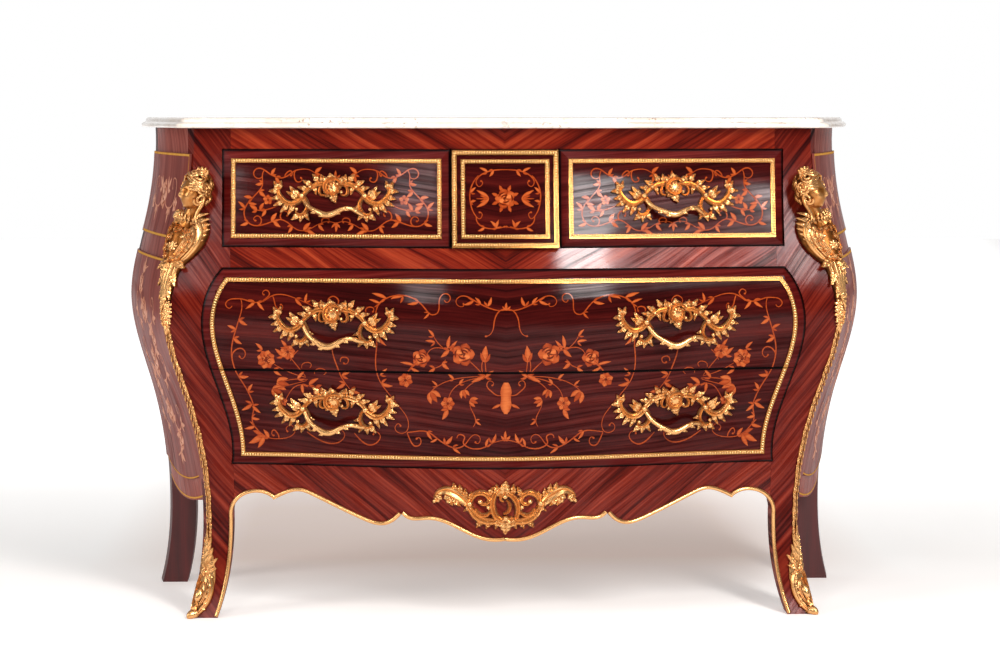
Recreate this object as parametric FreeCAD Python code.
"""Bombe chest of drawers with a marble top: every piece as its own solid.

Millimetres, +Z up, the front faces -Y and +X is the chest's right as seen from the front.
The swelling case is one envelope of three curved walls. Each wooden piece is the part of
that envelope that its outline cuts out, and each gilt mount is a skin laid on it.
"""
import FreeCAD
import Part
import math
import os
from FreeCAD import Matrix, Vector

# Heights of the front, from the floor up
APRON_TOP = 271.0
LOWER_DRAWER = 172.5
UPPER_DRAWER = 178.0
MID_RAIL = 34.5
FRIEZE_DRAWER = 170.0
TOP_RAIL = 36.0
MARBLE_THICK = 18.0

# Plan of the case
NECK_HALF = 540.0
SPLAY = 103.0
CASE_DEPTH = 416.0

# Cabriole profile of the corners: height, swell beyond the neck, bow of the front
FOOT_SWELL = 6.0
FOOT_BOW = 60.0
WAIST_Z = 170.0
WAIST_SWELL = -21.0
WAIST_BOW = 90.0
KNEE_Z = 370.0
KNEE_SWELL = 6.0
KNEE_BOW = 90.0
BELLY_Z = 550.0
BELLY_SWELL = 46.0
BELLY_BOW = 80.0
CHEST_Z = 700.0
CHEST_SWELL = 16.0
CHEST_BOW = 66.0
NECK_Z = 815.0
NECK_BOW = 60.0
REAR_FOOT_SWELL = -3.0

# Timber
LEG_WIDTH = 41.0
LEG_DEPTH = 46.0
REAR_LEG_WIDTH = 53.0
REAR_LEG_DEPTH = 46.0
RAIL_THICK = 28.0
SIDE_THICK = 20.0
BACK_THICK = 10.0
BACK_INSET = 4.0
BOARD_THICK = 13.0
RUNNER_THICK = 16.0
RUNNER_LIFT = 4.0
RUNNER_CLEAR = 3.0
RUNNER_REACH = 32.0
JOINT_INSET = 2.0
DIVIDER_THICK = 12.0

# Drawer fronts
FRIEZE_STILE = 49.0
LONG_TOP_STILE = 50.0
LONG_BELLY_STILE = 59.0
LONG_BOTTOM_STILE = 60.0
CENTRE_HALF = 93.5
PROUD = 9.0
FRONT_BACKSET = 20.0
FRONT_CLEAR = 3.0
DRAWER_GAP = 1.2
BEVEL = 15.0
BEVEL_DROP = 7.5
BEAD_WIDTH = 7.0
BEAD_HEIGHT = 3.0
BEAD_SEAT = 0.5
CENTRE_FRAME = 8.0
CENTRE_FRAME_HEIGHT = 5.0
CENTRE_BEAD_INSET = 16.0

# Drawer boxes
BOX_INSET = 78.0
BOX_SIDE = 12.0
FRIEZE_SIDE = 10.0
BOX_BOTTOM = 7.0
BOTTOM_GROOVE = 8.0
BOX_HEADROOM = 14.0
RUN_GAP = 0.3
SIDE_PLAY = 1.5
BOX_BACK_GAP = 30.0
GUIDE_WIDTH = 12.0
GUIDE_HEIGHT = 16.0
GUIDE_START = 80.0
STOP_GAP = 1.0
STOP_DEPTH = 12.0
STOP_WIDTH = 40.0

# Apron outline
APRON_DROP_Z = 144.0
APRON_CUSP_Z = 189.0
APRON_CREST_Z = 224.0
LEG_CUSP_Z = 208.0
LEG_ARCH_Z = 220.0
SIDE_SKIRT_Z = 203.0
SIDE_SKIRT_DROP = 17.0
SKIRT_BEAD = 6.5
SKIRT_BEAD_HEIGHT = 4.0

# Side fields
FIELD_PROUD = 3.5
FIELD_FRONT = 15.0
FIELD_REAR = 16.0
FIELD_TOP = 817.0
FIELD_BREAK_TOP = 668.0
FIELD_BREAK_LOW = 633.0
FIELD_MARGIN = 38.0

# Marble
OVERHANG = 26.0
MARBLE_BACK = 4.0
MARBLE_CORNER = 20.0

# Gilt mounts
STRIP_WIDTH = 9.0
STRIP_THICK = 3.0
STRIP_TOP = 512.0
SABOT_WIDTH = 25.0
SABOT_THICK = 5.0
SABOT_TOP = 78.0
SABOT_TIP = 130.0
TOE_RADIUS = 9.0
PULL_OUTSET = 3.75
PULL_FRIEZE_Z = 759.0
PULL_UPPER_Z = 544.0
PULL_LOWER_Z = 391.5
PULL_THICK = 6.0
PULL_REACH = 130.0
ROSETTE_R = 15.0
ROSETTE_RIM = 2.5
BAIL_R = 3.6
BAIL_STAND = 21.0
BAIL_STEPS = 16
BAIL_SIDES = 10
APRON_MOUNT_Z = 205.0
APRON_MOUNT_THICK = 9.0
HEAD_Z = 768.0
HEAD_R = 20.0

# Seat of curved faces on one another
FIT = 0.2

SPLIT_Z = APRON_TOP + LOWER_DRAWER
MID_LOW = SPLIT_Z + UPPER_DRAWER
MID_HIGH = MID_LOW + MID_RAIL
FRIEZE_HIGH = MID_HIGH + FRIEZE_DRAWER
CASE_TOP = FRIEZE_HIGH + TOP_RAIL
POST_JOINT = NECK_HALF + WAIST_SWELL - LEG_WIDTH - JOINT_INSET
FRIEZE_HALF = NECK_HALF - FRIEZE_STILE
LONG_TOP_HALF = NECK_HALF - LONG_TOP_STILE
LONG_BELLY_HALF = NECK_HALF + BELLY_SWELL - LONG_BELLY_STILE
LONG_BOTTOM_HALF = NECK_HALF - LONG_BOTTOM_STILE
BOX_HALF = NECK_HALF - BOX_INSET
RUNNER_INNER = BOX_HALF - RUNNER_REACH
RUNNER_TOP = SPLIT_Z + RUNNER_LIFT
PULL_X = (CENTRE_HALF + FRIEZE_HALF) / 2 + PULL_OUTSET
APRON_CUSP_X = NECK_HALF / 3
APRON_CREST_X = NECK_HALF * 2 / 3
LEG_CUSP_X = NECK_HALF * 3 / 4
BOX_BACK = CASE_DEPTH - REAR_LEG_DEPTH - BOX_BACK_GAP
BACK_FACE = CASE_DEPTH - BACK_INSET - BACK_THICK
REACH = 900.0
STATIONS = [0.0, WAIST_Z, KNEE_Z, BELLY_Z, CHEST_Z, NECK_Z, CASE_TOP]
SERPENTINE = [0.0, 0.0, 0.5, 1.25, 0.5, 0.0, 0.0]
SERPENTINE_X = [-1.0, -5.0 / 6.0, -0.5, 0.0, 0.5, 5.0 / 6.0, 1.0]
SIDE_RUN = [0.0, 1.0 / 3.0, 2.0 / 3.0, 1.0]
SIDE_FLARE = [0.0, 0.42, 0.80, 1.0]


def profile(swells, bows):
    """Curve of (swell, bow, height) through the stations, linear in height."""
    points = [Vector(s, b, z) for s, b, z in zip(swells, bows, STATIONS)]
    curve = Part.BSplineCurve()
    curve.interpolate(Points=points, Parameters=STATIONS)
    return curve


UPPER_SWELLS = [WAIST_SWELL, KNEE_SWELL, BELLY_SWELL, CHEST_SWELL, 0.0, 0.0]
BOWS = [FOOT_BOW, WAIST_BOW, KNEE_BOW, BELLY_BOW, CHEST_BOW, NECK_BOW, NECK_BOW]
CORNER = profile([FOOT_SWELL] + UPPER_SWELLS, BOWS)
REAR = profile([REAR_FOOT_SWELL] + UPPER_SWELLS, [0.0] * len(STATIONS))


def wall(rows, knots, mults):
    """Curved wall whose rows follow the heights of the corner profile."""
    surface = Part.BSplineSurface()
    surface.buildFromPolesMultsKnots(
        rows, CORNER.getMultiplicities(), mults, CORNER.getKnots(), knots, False, False, 3, 3)
    return surface


def front_wall():
    """Serpentine front between the two corners."""
    rows = []
    for pole in CORNER.getPoles():
        half = NECK_HALF + pole.x
        rows.append([Vector(g * half, -pole.x - pole.y * w, pole.z)
                     for g, w in zip(SERPENTINE_X, SERPENTINE)])
    return wall(rows, [0, 1, 2, 3, 4], [4, 1, 1, 1, 4])


def side_wall(sign):
    """Splayed side from a front corner to the back."""
    rows = []
    for pole, rear in zip(CORNER.getPoles(), REAR.getPoles()):
        x0 = NECK_HALF + pole.x
        x1 = NECK_HALF + SPLAY + rear.x
        rows.append([Vector(sign * (x0 + (x1 - x0) * g), -pole.x + (CASE_DEPTH + pole.x) * h, pole.z)
                     for h, g in zip(SIDE_RUN, SIDE_FLARE)])
    return wall(rows, [0, 1], [4, 4])


FRONT = front_wall()
RIGHT = side_wall(1)
LEFT = side_wall(-1)


def level_face(z):
    """Plan of the case at a height, as a flat face."""
    edges = [s.uIso(z).toShape() for s in (FRONT, RIGHT, LEFT)]
    edges.append(Part.makeLine(RIGHT.value(z, 1), LEFT.value(z, 1)))
    return Part.Face(Part.Wire(Part.__sortEdges__(edges)))


def envelope():
    """The whole swelling case as one solid."""
    back = [RIGHT.vIso(1).toShape(), LEFT.vIso(1).toShape()]
    back += [Part.makeLine(RIGHT.value(z, 1), LEFT.value(z, 1)) for z in (0.0, CASE_TOP)]
    faces = [s.toShape() for s in (FRONT, RIGHT, LEFT)]
    faces += [level_face(0.0), level_face(CASE_TOP)]
    faces.append(Part.Face(Part.Wire(Part.__sortEdges__(back))))
    shell = Part.Shell(faces)
    shell.sewShape()
    return Part.Solid(shell)


CASE = envelope()
FRONT_FACE = FRONT.toShape()
RIGHT_FACE = RIGHT.toShape()


def box(x0, x1, y0, y1, z0, z1):
    """Box between two corners."""
    return Part.makeBox(x1 - x0, y1 - y0, z1 - z0, Vector(x0, y0, z0))


def mirrored(shape):
    """The same piece for the other side of the chest."""
    return shape.mirror(Vector(0, 0, 0), Vector(1, 0, 0))


def skin(out, low):
    """Front skin from a height out of the front down to a lower height over it."""
    return FRONT_FACE.translated(Vector(0, -out, 0)).extrude(Vector(0, out - low, 0))


def before(depth):
    """Everything in front of the front wall moved in by a depth."""
    return FRONT_FACE.translated(Vector(0, depth, 0)).extrude(Vector(0, -REACH, 0))


def beyond(depth):
    """Everything outside the right wall moved in by a depth."""
    return RIGHT_FACE.translated(Vector(-depth, 0, 0)).extrude(Vector(REACH, 0, 0))


def through_y(face):
    """Prism of a front view outline."""
    return face.translated(Vector(0, -REACH, 0)).extrude(Vector(0, 2 * REACH, 0))


def through_x(face):
    """Prism of a side view outline on the right."""
    return face.extrude(Vector(REACH, 0, 0))


def spline(points):
    """Smooth edge through points."""
    curve = Part.BSplineCurve()
    curve.interpolate(points)
    return curve.toShape()


def face_of(edges):
    """Flat face inside loose edges."""
    return Part.Face(Part.Wire(Part.__sortEdges__(edges)))


def grown(face, distance):
    """Outline moved outward by a distance, or inward by a negative one."""
    return face.makeOffset2D(distance).toNurbs()


def chain(points):
    """Straight edges through points."""
    return [Part.makeLine(a, b) for a, b in zip(points, points[1:])]


def swell(z):
    """Corner swell at a height."""
    return CORNER.value(z).x


def corner_x(z):
    """Half width of the front at a height."""
    return NECK_HALF + swell(z)


def front_y(x, z):
    """Depth of the front wall at a place on it."""
    return FRONT.value(z, 2 + 2 * x / corner_x(z)).y


def moved_curve(curve, make):
    """Copy of a profile curve with each pole placed anew."""
    copy = Part.BSplineCurve()
    copy.buildFromPolesMultsKnots(
        [make(p) for p in curve.getPoles()], curve.getMultiplicities(), curve.getKnots(),
        False, 3)
    return copy.toShape()


def outside_corner(inset):
    """Front view: all that lies outside the corner line moved in by an inset."""
    line = moved_curve(CORNER, lambda p: Vector(NECK_HALF + p.x - inset, 0, p.z))
    ends = [line.Vertexes[0].Point, line.Vertexes[-1].Point]
    edges = [line] + chain([ends[0], Vector(REACH, 0, 0), Vector(REACH, 0, CASE_TOP), ends[1]])
    return through_y(face_of(edges))


def before_corner(depth):
    """Side view: all in front of the corner line moved back by a depth."""
    line = moved_curve(CORNER, lambda p: Vector(0, depth - p.x, p.z))
    ends = [line.Vertexes[0].Point, line.Vertexes[-1].Point]
    edges = [line] + chain([ends[0], Vector(0, -REACH, 0), Vector(0, -REACH, CASE_TOP), ends[1]])
    return through_x(face_of(edges))


def outside_rear(inset):
    """Front view: all outside the rear line moved in by an inset."""
    line = moved_curve(REAR, lambda p: Vector(NECK_HALF + SPLAY + p.x - inset, 0, p.z))
    ends = [line.Vertexes[0].Point, line.Vertexes[-1].Point]
    edges = [line] + chain([ends[0], Vector(REACH, 0, 0), Vector(REACH, 0, CASE_TOP), ends[1]])
    return through_y(face_of(edges))


def front_post_zone(grow):
    """Space of the right front post, widened for the pieces notched round it."""
    zone = before_corner(LEG_DEPTH + grow)
    return zone.common(box(POST_JOINT - grow, REACH, -REACH, REACH, 0, CASE_TOP))


def rear_post_zone(grow):
    """Space of the right rear post, widened for the pieces notched round it."""
    zone = outside_rear(REAR_LEG_WIDTH + grow)
    return zone.common(box(0, REACH, CASE_DEPTH - REAR_LEG_DEPTH - grow, REACH, 0, CASE_TOP))


def rectangle(x0, x1, z0, z1):
    """Upright rectangle in the front view."""
    points = [Vector(x0, 0, z0), Vector(x1, 0, z0), Vector(x1, 0, z1), Vector(x0, 0, z1)]
    return face_of(chain(points + points[:1]))


def long_opening():
    """Front view outline of the two long drawers together."""
    bulge = [Vector(LONG_BOTTOM_HALF, 0, APRON_TOP),
             Vector((LONG_BOTTOM_HALF + 2 * LONG_BELLY_HALF) / 3, 0, SPLIT_Z - 6),
             Vector(LONG_BELLY_HALF, 0, MID_LOW - 0.51 * UPPER_DRAWER),
             Vector(0.3 * LONG_TOP_HALF + 0.7 * LONG_BELLY_HALF, 0, MID_LOW - 0.226 * UPPER_DRAWER),
             Vector(LONG_TOP_HALF, 0, MID_LOW)]
    other = [Vector(-p.x, 0, p.z) for p in bulge]
    edges = [spline(bulge), spline(other)]
    edges += [Part.makeLine(other[0], bulge[0]), Part.makeLine(other[-1], bulge[-1])]
    return face_of(edges)


def skirt_half():
    """Right half of the lower front outline, from the middle drop to the leg."""
    join = WAIST_Z + 8.0
    drop = [Vector(0, 0, APRON_DROP_Z), Vector(APRON_CUSP_X * 0.28, 0, APRON_DROP_Z + 5),
            Vector(APRON_CUSP_X * 0.74, 0, APRON_CUSP_Z - 9),
            Vector(APRON_CUSP_X * 0.92, 0, APRON_CUSP_Z - 9.5),
            Vector(APRON_CUSP_X, 0, APRON_CUSP_Z)]
    lobe = [drop[-1], Vector(APRON_CUSP_X + 40, 0, APRON_CUSP_Z - 21),
            Vector(APRON_CUSP_X + 70, 0, APRON_CUSP_Z - 12),
            Vector(APRON_CREST_X - 25, 0, APRON_CREST_Z - 8),
            Vector(APRON_CREST_X, 0, APRON_CREST_Z),
            Vector(LEG_CUSP_X - 20, 0, APRON_CREST_Z - 6), Vector(LEG_CUSP_X, 0, LEG_CUSP_Z)]
    foot = corner_x(join) - LEG_WIDTH
    arch = [lobe[-1], Vector(LEG_CUSP_X + 33, 0, LEG_ARCH_Z),
            Vector(foot - 12, 0, LEG_ARCH_Z - 11), Vector(foot, 0, join)]
    leg = moved_curve(CORNER, lambda p: Vector(NECK_HALF + p.x - LEG_WIDTH, 0, p.z))
    leg = leg.Curve.toShape(0.0, join)
    return [spline(drop), spline(lobe), spline(arch), leg]


def skirt_face():
    """Front view of the open space under the front, between the legs."""
    edges = skirt_half()
    edges += [mirrored(e) for e in edges]
    foot = corner_x(0.0) - LEG_WIDTH
    edges += chain([Vector(foot, 0, 0), Vector(foot, 0, -LEG_DEPTH),
                    Vector(-foot, 0, -LEG_DEPTH), Vector(-foot, 0, 0)])
    return face_of(edges)


def side_line(lift):
    """Side view points of the scalloped lower edge of the side, raised by a lift."""
    y0 = -swell(SIDE_SKIRT_Z) + LEG_DEPTH
    y1 = CASE_DEPTH - REAR_LEG_DEPTH
    return [Vector(0, y0, SIDE_SKIRT_Z + lift),
            Vector(0, y0 + 0.36 * (y1 - y0), SIDE_SKIRT_Z - SIDE_SKIRT_DROP + lift),
            Vector(0, y1, SIDE_SKIRT_Z + lift)]


def under_side(lift):
    """Side view: all below the side's scalloped edge raised by a lift."""
    line = side_line(lift)
    first = Vector(0, -REACH, line[0].z)
    last = Vector(0, REACH, line[-1].z)
    edges = [spline(line)]
    edges += chain([line[-1], last, Vector(0, REACH, -1), Vector(0, -REACH, -1), first, line[0]])
    return through_x(face_of(edges))


OPEN_FRIEZE = rectangle(-FRIEZE_HALF, FRIEZE_HALF, MID_HIGH, FRIEZE_HIGH)
OPEN_LONG = long_opening()
SKIRT = skirt_face()
SKIRT_VOID = through_y(SKIRT)
NODES = {}


def add(name, *shapes):
    """Keep a piece, or a group of like pieces, under its node name."""
    solids = [s for shape in shapes for s in shape.Solids]
    NODES[name] = solids[0] if len(solids) == 1 else Part.makeCompound(solids)


def add_pair(name, shape):
    """Keep a right hand piece and its left hand twin."""
    add(name.format("right"), shape)
    add(name.format("left"), mirrored(shape))


def build_case():
    """Posts, rails, sides, back and the boards inside."""
    post = CASE.common(front_post_zone(0)).cut(SKIRT_VOID)
    post = post.cut(through_y(OPEN_FRIEZE)).cut(through_y(OPEN_LONG))
    add_pair("front_{}_post", post)
    add_pair("rear_{}_post", CASE.common(rear_post_zone(0)))

    span = POST_JOINT - FIT
    rail = skin(0, -RAIL_THICK)
    add("frieze_rail", rail.common(box(-span, span, -REACH, REACH, FRIEZE_HIGH, CASE_TOP)))
    add("mid_rail", rail.common(box(-span, span, -REACH, REACH, MID_LOW, MID_HIGH)))
    add("apron", rail.common(box(-span, span, -REACH, REACH, 0, APRON_TOP)).cut(SKIRT_VOID))

    side = RIGHT_FACE.extrude(Vector(-SIDE_THICK, 0, 0))
    side = side.cut(before_corner(LEG_DEPTH + FIT)).cut(under_side(0))
    side = side.cut(box(0, REACH, CASE_DEPTH - REAR_LEG_DEPTH - FIT, REACH, 0, CASE_TOP))
    add_pair("{}_side", side)

    coat = RIGHT_FACE.translated(Vector(FIT, 0, 0)).extrude(Vector(FIELD_PROUD, 0, 0))
    coat = coat.cut(before_corner(FIELD_FRONT)).cut(under_side(FIELD_MARGIN))
    coat = coat.common(box(0, REACH, -REACH, CASE_DEPTH - FIELD_REAR, 0, FIELD_TOP))
    coat = coat.cut(box(0, REACH, -REACH, REACH, FIELD_BREAK_LOW, FIELD_BREAK_TOP))
    add_pair("{}_side_fields", coat)

    hollow = [before(RAIL_THICK + FIT), beyond(SIDE_THICK + FIT)]
    hollow += [front_post_zone(FIT), rear_post_zone(FIT)]
    hollow += [mirrored(s) for s in hollow[1:]]

    def board(z0, z1):
        """Flat board filling the case between two heights."""
        blank = CASE.common(box(-REACH, REACH, -REACH / 2, BACK_FACE, z0, z1))
        for solid in hollow:
            blank = blank.cut(solid)
        return max(blank.Solids, key=lambda s: s.Volume)

    add("top_board", board(CASE_TOP - BOARD_THICK, CASE_TOP))
    add("dust_board", board(MID_HIGH - BOARD_THICK, MID_HIGH))
    add("bottom_board", board(APRON_TOP - BOARD_THICK, APRON_TOP))
    runner = board(RUNNER_TOP - RUNNER_THICK, RUNNER_TOP).cut(before(FRONT_BACKSET + FRONT_CLEAR))
    runner = runner.common(box(RUNNER_INNER, REACH, -REACH, REACH, 0, CASE_TOP))
    add("runners", runner, mirrored(runner))

    slot = outside_rear(REAR_LEG_WIDTH + FIT)
    low = APRON_TOP - BOARD_THICK
    back = box(-REACH, REACH, BACK_FACE, BACK_FACE + BACK_THICK, low, CASE_TOP)
    add("back_panel", back.cut(slot).cut(mirrored(slot)))

    divider = box(CENTRE_HALF - DIVIDER_THICK / 2, CENTRE_HALF + DIVIDER_THICK / 2, -REACH / 2,
                  BACK_FACE, MID_HIGH, CASE_TOP - BOARD_THICK)
    divider = divider.cut(before(RAIL_THICK + FIT))
    add("frieze_dividers", divider, mirrored(divider))


def marble_outline(out, z):
    """Plan of the case with an overhang at a height, its front corners rounded."""
    crown = CORNER.getPoles()[-1]
    half = NECK_HALF + crown.x + out
    rear = half + SPLAY
    end = CASE_DEPTH + MARBLE_BACK
    poles = [Vector(g * half, -crown.x - crown.y * w - out, z)
             for g, w in zip(SERPENTINE_X, SERPENTINE)]
    front = Part.BSplineCurve()
    front.buildFromPolesMultsKnots(poles, [4, 1, 1, 1, 4], [0, 1, 2, 3, 4], False, 3)
    side = Part.BezierCurve()
    side.setPoles([Vector(half + (rear - half) * g, poles[-1].y + (end - poles[-1].y) * h, z)
                   for h, g in zip(SIDE_RUN, SIDE_FLARE)])
    edges = [front.toShape(), side.toShape(), mirrored(side.toShape())]
    edges.append(Part.makeLine(Vector(rear, end, z), Vector(-rear, end, z)))
    slab = face_of(edges).extrude(Vector(0, 0, MARBLE_THICK))
    upright = [e for e in slab.Edges if e.BoundBox.ZLength > 1 and e.CenterOfMass.y < 0]
    slab = slab.makeFillet(MARBLE_CORNER, upright)
    return min(slab.Faces, key=lambda f: f.CenterOfMass.z).OuterWire


def build_marble():
    """Top slab: a round lip below, a hollow and a smaller round above it."""
    levels = [(-0.18, 0.0), (-0.04, 0.07), (0.0, 0.16), (0.0, 0.34), (-0.05, 0.44), (-0.16, 0.53),
              (-0.28, 0.60), (-0.30, 0.74), (-0.34, 0.87), (-0.44, 1.0)]
    wires = [marble_outline(OVERHANG * (1 + a), CASE_TOP + MARBLE_THICK * b) for a, b in levels]
    add("marble_top", Part.makeLoft(wires, True, True))


def bevelled_front(face, keep_z):
    """Proud drawer front cut from the front wall, its border bevelled except on one level."""
    front = skin(PROUD, -FRONT_BACKSET).common(through_y(face)).Solids[0]
    broad = sorted(front.Faces, key=lambda f: f.Area)[-2:]
    outer = min(broad, key=lambda f: f.CenterOfMass.y)
    edges = [e for e in outer.Edges if abs(e.CenterOfMass.z - keep_z) > 2 * DRAWER_GAP]
    return front.makeChamfer(BEVEL, BEVEL_DROP, edges)


def ring(face, inset, width):
    """Front view ring inside an outline."""
    return through_y(grown(face, -inset)).cut(through_y(grown(face, -inset - width)))


def drawer_box(name, x0, x1, z0, z1, thick):
    """Two sides, a back and a bottom behind a drawer front."""
    face = before(FRONT_BACKSET + FIT)
    left = box(x0, x0 + thick, -REACH / 2, BOX_BACK, z0, z1).cut(face)
    right = box(x1 - thick, x1, -REACH / 2, BOX_BACK, z0, z1).cut(face)
    add(name + "_sides", left, right)
    add(name + "_back", box(x0 + thick, x1 - thick, BOX_BACK - thick, BOX_BACK, z0, z1 - BOX_HEADROOM))
    floor = box(x0 + thick, x1 - thick, -REACH / 2, BOX_BACK - thick,
                z0 + BOTTOM_GROOVE, z0 + BOTTOM_GROOVE + BOX_BOTTOM)
    add(name + "_bottom", floor.cut(face))


def build_drawers():
    """Three frieze drawers and two long drawers."""
    bead = skin(PROUD + BEAD_HEIGHT, PROUD + FIT)
    left_face = rectangle(-FRIEZE_HALF + DRAWER_GAP, -CENTRE_HALF - DRAWER_GAP,
                          MID_HIGH + DRAWER_GAP, FRIEZE_HIGH - DRAWER_GAP)
    left_front = bevelled_front(left_face, 0)
    left_bead = bead.common(ring(left_face, BEVEL + BEAD_SEAT, BEAD_WIDTH))
    for name, shape in (("drawer_front", left_front), ("drawer_bead", left_bead)):
        add("frieze_left_" + name, shape)
        add("frieze_right_" + name, mirrored(shape))
    inner = CENTRE_HALF + DIVIDER_THICK / 2 + SIDE_PLAY
    outer = FRIEZE_HALF - GUIDE_WIDTH - SIDE_PLAY
    low = MID_HIGH + RUN_GAP
    high = FRIEZE_HIGH - BOX_HEADROOM
    drawer_box("frieze_left_drawer", -outer, -inner, low, high, FRIEZE_SIDE)
    drawer_box("frieze_right_drawer", inner, outer, low, high, FRIEZE_SIDE)
    small = CENTRE_HALF - DIVIDER_THICK / 2 - SIDE_PLAY
    drawer_box("frieze_centre_drawer", -small, small, low, high, FRIEZE_SIDE)

    centre = CENTRE_HALF - DRAWER_GAP
    face = rectangle(-centre, centre, MID_HIGH + DRAWER_GAP, FRIEZE_HIGH - DRAWER_GAP)
    add("frieze_centre_drawer_front", skin(PROUD, -FRONT_BACKSET).common(through_y(face)))
    frame = skin(PROUD + CENTRE_FRAME_HEIGHT, PROUD + FIT)
    add("frieze_centre_frame", frame.common(ring(face, BEAD_SEAT, CENTRE_FRAME)))
    add("frieze_centre_drawer_bead", bead.common(ring(face, CENTRE_BEAD_INSET, BEAD_WIDTH)))

    inset = grown(OPEN_LONG, -DRAWER_GAP)
    long_ring = ring(inset, BEVEL + BEAD_SEAT, BEAD_WIDTH)
    half_gap = DRAWER_GAP / 2
    zones = {"upper": (SPLIT_Z + half_gap, MID_LOW), "lower": (APRON_TOP, SPLIT_Z - half_gap)}
    for name, (z0, z1) in zones.items():
        slab = box(-REACH, REACH, -REACH, REACH, z0, z1)
        front = inset.common(slab)
        add(name + "_drawer_front", bevelled_front(front.Faces[0], SPLIT_Z))
        add(name + "_drawer_bead", bead.common(long_ring).common(slab))
    drawer_box("upper_drawer", -BOX_HALF, BOX_HALF, RUNNER_TOP + RUN_GAP, MID_LOW - BOX_HEADROOM,
               BOX_SIDE)
    drawer_box("lower_drawer", -BOX_HALF, BOX_HALF, APRON_TOP + RUN_GAP,
               RUNNER_TOP - RUNNER_THICK - RUNNER_CLEAR, BOX_SIDE)

    levels = [(MID_HIGH, outer), (RUNNER_TOP, BOX_HALF), (APRON_TOP, BOX_HALF)]
    guides = []
    for z, half in levels:
        x0 = half + SIDE_PLAY
        guide = box(x0, x0 + GUIDE_WIDTH, GUIDE_START, BOX_BACK, z, z + GUIDE_HEIGHT)
        guides += [guide, mirrored(guide)]
    add("drawer_guides", *guides)
    stops = []
    places = [(MID_HIGH, -(inner + outer) / 2), (MID_HIGH, 0.0), (MID_HIGH, (inner + outer) / 2),
              (RUNNER_TOP, -BOX_HALF), (RUNNER_TOP, BOX_HALF),
              (APRON_TOP, -BOX_HALF / 2), (APRON_TOP, BOX_HALF / 2)]
    for z, x in places:
        stops.append(box(x - STOP_WIDTH / 2, x + STOP_WIDTH / 2, BOX_BACK + STOP_GAP,
                         BOX_BACK + STOP_GAP + STOP_DEPTH, z, z + GUIDE_HEIGHT))
    add("drawer_stops", *stops)


def leaf(x0, z0, x1, z1, width):
    """Pointed leaf outline between its root and its tip."""
    root = Vector(x0, 0, z0)
    tip = Vector(x1, 0, z1)
    mid = (root + tip) * 0.5
    along = (tip - root).normalize()
    across = Vector(-along.z, 0, along.x) * (width / 2)
    edges = [Part.Arc(root, mid + across, tip).toShape(), Part.Arc(root, mid - across, tip).toShape()]
    return face_of(edges)


def scroll(x, z, radius, start, end, width0, width1, width2):
    """Arc band with its own widths at the start, the middle and the end."""
    sides = []
    for half in (0.5, -0.5):
        points = []
        for angle, width in ((start, width0), ((start + end) / 2, width1), (end, width2)):
            turn = math.radians(angle)
            r = radius + half * width
            points.append(Vector(x + r * math.cos(turn), 0, z + r * math.sin(turn)))
        sides.append(points)
    edges = [Part.Arc(*points).toShape() for points in sides]
    edges += [Part.makeLine(sides[0][i], sides[1][i]) for i in (0, 2)]
    return face_of(edges)


def disc(x, z, radius):
    """Round outline."""
    circle = Part.Circle(Vector(x, 0, z), Vector(0, 1, 0), radius)
    return Part.Face(Part.Wire(circle.toShape()))


def pull_outline():
    """Front view prism of the pull's foliage about its rosette."""
    half = [leaf(8, 2, 36, 13, 11), leaf(10, -1, 53, 3, 13), leaf(34, 6, 55, -16, 10),
            leaf(2, 6, 14, 24, 9), scroll(30, -17, 20, 62, -62, 8, 7, 8),
            scroll(73, -12, 21, 170, 372, 7, 8, 5), leaf(46, -12, 62, 9, 9),
            leaf(90, -22, 109, -4, 10), leaf(86, -18, 94, 6, 7), leaf(66, -28, 92, -40, 8),
            leaf(78, -26, 103, -30, 8), leaf(36, -28, 58, -54, 13), leaf(44, -26, 62, -26, 9)]
    whole = half + [mirrored(f) for f in half]
    whole += [leaf(0, 8, 0, 28, 14), leaf(0, -8, 2, -24, 12)]
    prism = through_y(disc(0, 0, ROSETTE_R + ROSETTE_RIM))
    return prism.fuse([through_y(f) for f in whole]).removeSplitter()


def build_pull(outline, x, z):
    """One cast pull on a drawer front: foliage, rosette and the bail for the fingers."""
    patch = box(x - PULL_REACH, x + PULL_REACH, -REACH, REACH, z - PULL_REACH, z + PULL_REACH)
    plate = skin(PROUD + PULL_THICK, PROUD + FIT).common(patch)
    plate = plate.common(outline.translated(Vector(x, 0, z)))
    y = front_y(x, z) - PROUD
    boss = Part.makeSphere(ROSETTE_R, Vector(x, y + ROSETTE_R / 3, z))
    boss = boss.common(skin(PROUD + ROSETTE_R, PROUD + FIT))
    path = [(-50, -42, 0.15), (-38, -38, 0.7), (-18, -45, 1.0), (0, -53, 1.0), (18, -45, 1.0),
            (38, -38, 0.7), (50, -42, 0.15)]
    points = [Vector(x + u, front_y(x + u, z + v) - PROUD - PULL_THICK / 2 - BAIL_STAND * w, z + v)
              for u, v, w in path]
    rail = spline(points).Curve
    rings = []
    for i in range(BAIL_STEPS + 1):
        t = rail.FirstParameter + (rail.LastParameter - rail.FirstParameter) * i / BAIL_STEPS
        out = rail.tangent(t)[0].cross(Vector(0, 1, 0)).normalize()
        back = out.cross(rail.tangent(t)[0])
        turns = [2 * math.pi * k / BAIL_SIDES for k in range(BAIL_SIDES + 1)]
        rings.append(Part.makePolygon([rail.value(t) + (out * math.cos(a) + back * math.sin(a)) * BAIL_R
                                       for a in turns]))
    bail = Part.makeLoft(rings, True, True)
    return plate.fuse([boss, bail])


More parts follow.
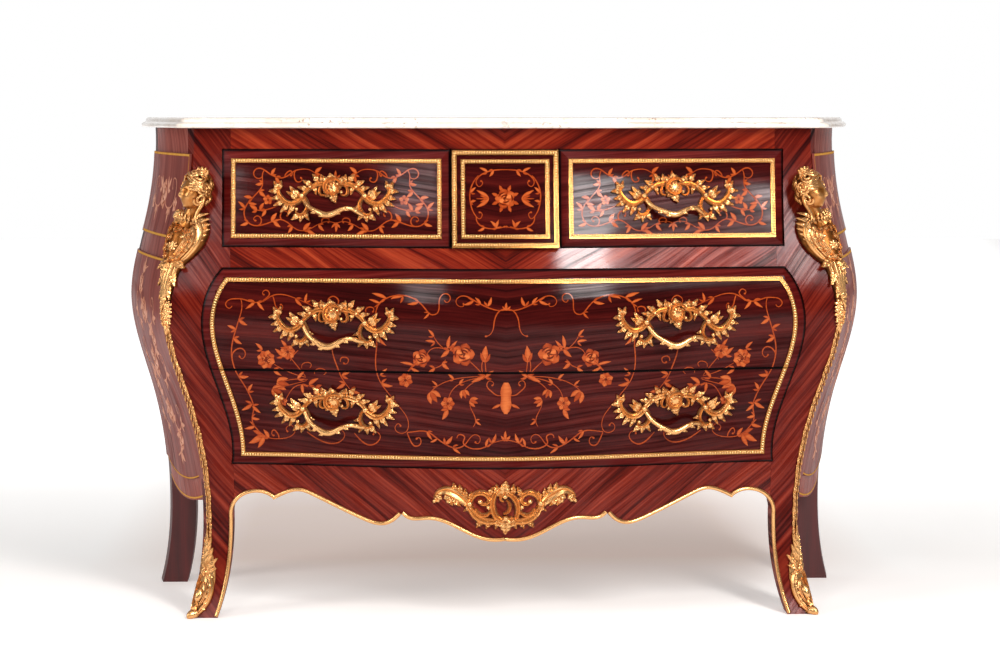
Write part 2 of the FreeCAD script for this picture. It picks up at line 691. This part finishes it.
def build_pulls():
    """Six like pulls, two to each row."""
    outline = pull_outline()
    rows = {"frieze_{}_pull": PULL_FRIEZE_Z, "upper_{}_pull": PULL_UPPER_Z, "lower_{}_pull": PULL_LOWER_Z}
    for name, z in rows.items():
        add_pair(name, build_pull(outline, PULL_X, z))


def corner_skin(thick):
    """Gilt skin folded over the right front corner."""
    block = CASE.common(box(POST_JOINT - LEG_WIDTH, REACH, -REACH, LEG_DEPTH * 3, 0, CASE_TOP))
    outer = block.translated(Vector(thick, -thick, 0))
    return outer.cut(block.translated(Vector(FIT, -FIT, 0)))


def taper(z0, z1, z2, width):
    """Front view and side view prisms of a band on the corner that runs to a point."""
    tall = box(0, REACH, -REACH, REACH, z0, z1)
    band = outside_corner(width).common(before_corner(width)).common(tall)
    tips = []
    steps = 4
    for i in range(steps):
        a = z1 + (z2 - z1) * i / steps
        b = z1 + (z2 - z1) * (i + 1) / steps
        part = width * (1 - (i + 0.5) / steps)
        slab = box(0, REACH, -REACH, REACH, a, b)
        tips.append(outside_corner(part).common(before_corner(part)).common(slab))
    return band.fuse(tips)


def ellipse(centre, across, out, width, depth):
    """Upright section of a mount: an ellipse across the corner."""
    if width >= depth:
        curve = Part.Ellipse(centre + across * width, centre + out * depth, centre)
    else:
        curve = Part.Ellipse(centre + out * depth, centre + across * width, centre)
    return Part.Wire(curve.toShape())


def build_corner_mount():
    """Bust, leaf drop and crest on the right front corner."""
    out = Vector(1, -1, 0).normalize()
    across = Vector(1, 1, 0).normalize()

    def at(z, lift):
        """Place on the corner line, lifted off it."""
        return Vector(corner_x(z), -swell(z), z) + out * lift

    body = [(-36, 13, 12), (-52, 27, 16), (-76, 33, 21), (-104, 27, 19), (-130, 31, 16),
            (-160, 19, 13), (-192, 8, 9)]
    bust = Part.makeLoft([ellipse(at(HEAD_Z + dz, 4), across, out, w, d) for dz, w, d in body], True)
    drop = [(-186, 5, 6), (-205, 14, 11), (-226, 12, 10), (-252, 4, 5)]
    drop = Part.makeLoft([ellipse(at(HEAD_Z + dz, 2), across, out, w, d) for dz, w, d in drop], True)
    stretch = Matrix()
    stretch.scale(Vector(0.92, 0.92, 1.3))
    head = Part.makeSphere(HEAD_R).transformGeometry(stretch).translated(at(HEAD_Z, 15))
    neck = Part.makeCylinder(HEAD_R * 0.5, HEAD_R * 2.2, at(HEAD_Z - HEAD_R * 2.4, 9))
    stretch = Matrix()
    stretch.scale(Vector(1.15, 1.15, 0.75))
    hair = Part.makeSphere(HEAD_R).transformGeometry(stretch).translated(at(HEAD_Z + HEAD_R, 8))
    whole = bust.fuse([drop, head, neck, hair])
    coat = RIGHT_FACE.extrude(Vector(FIELD_PROUD + 2 * FIT, 0, 0)).cut(before_corner(FIELD_FRONT - FIT))
    whole = whole.cut(CASE.translated(out * FIT)).cut(coat)
    return max(whole.Solids, key=lambda s: s.Volume)


def build_mounts():
    """Gilt pieces fixed to the case."""
    add_pair("{}_corner_mount", build_corner_mount())
    strip = corner_skin(STRIP_THICK)
    band = outside_corner(STRIP_WIDTH).common(before_corner(STRIP_WIDTH))
    strip = strip.common(band).common(box(0, REACH, -REACH, REACH, SABOT_TIP + FIT, STRIP_TOP))
    add_pair("{}_corner_strip", strip)

    sabot = corner_skin(SABOT_THICK).common(taper(0, SABOT_TOP, SABOT_TIP, SABOT_WIDTH))
    across = Vector(1, 1, 0).normalize()
    toe = Vector(corner_x(TOE_RADIUS) + SABOT_THICK / 2, -swell(TOE_RADIUS) - SABOT_THICK / 2, TOE_RADIUS)
    curl = Part.makeCylinder(TOE_RADIUS, SABOT_WIDTH, toe - across * (SABOT_WIDTH / 2), across)
    sabot = sabot.fuse(curl).cut(CASE.translated(Vector(FIT, -FIT, 0)))
    add_pair("{}_sabot", max(sabot.Solids, key=lambda s: s.Volume))

    bead = skin(SKIRT_BEAD_HEIGHT, FIT).common(through_y(grown(SKIRT, SKIRT_BEAD)).cut(SKIRT_VOID))
    add("apron_bead", bead.common(box(-REACH, REACH, -REACH, REACH, 0, APRON_TOP)))

    half = [scroll(36, 6, 24, 150, -60, 8, 10, 9), leaf(46, -18, 84, -30, 15), leaf(40, -14, 124, 4, 16),
            leaf(56, 10, 104, 26, 14), leaf(20, 24, 56, 38, 13), leaf(8, -20, 42, -34, 15),
            scroll(88, 2, 16, 210, 340, 6, 8, 4), leaf(6, 26, 22, 46, 11)]
    faces = half + [mirrored(f) for f in half]
    faces += [leaf(0, 10, 0, 48, 22), leaf(0, -10, 0, -46, 24)]
    prism = through_y(disc(0, 0, 26)).fuse([through_y(f) for f in faces]).removeSplitter()
    plate = skin(APRON_MOUNT_THICK, FIT).common(prism.translated(Vector(0, 0, APRON_MOUNT_Z)))
    add("apron_mount", plate)


build_case()
build_marble()
build_drawers()
build_pulls()
build_mounts()

FRONT_END = NODES["upper_drawer_front"].optimalBoundingBox().YMin
CENTRE_Y = (FRONT_END + CASE_DEPTH + MARBLE_BACK) / 2
os.makedirs("parts", exist_ok=True)
for node, shape in NODES.items():
    shape.translated(Vector(0, -CENTRE_Y, 0)).exportStep("parts/" + node + ".step")
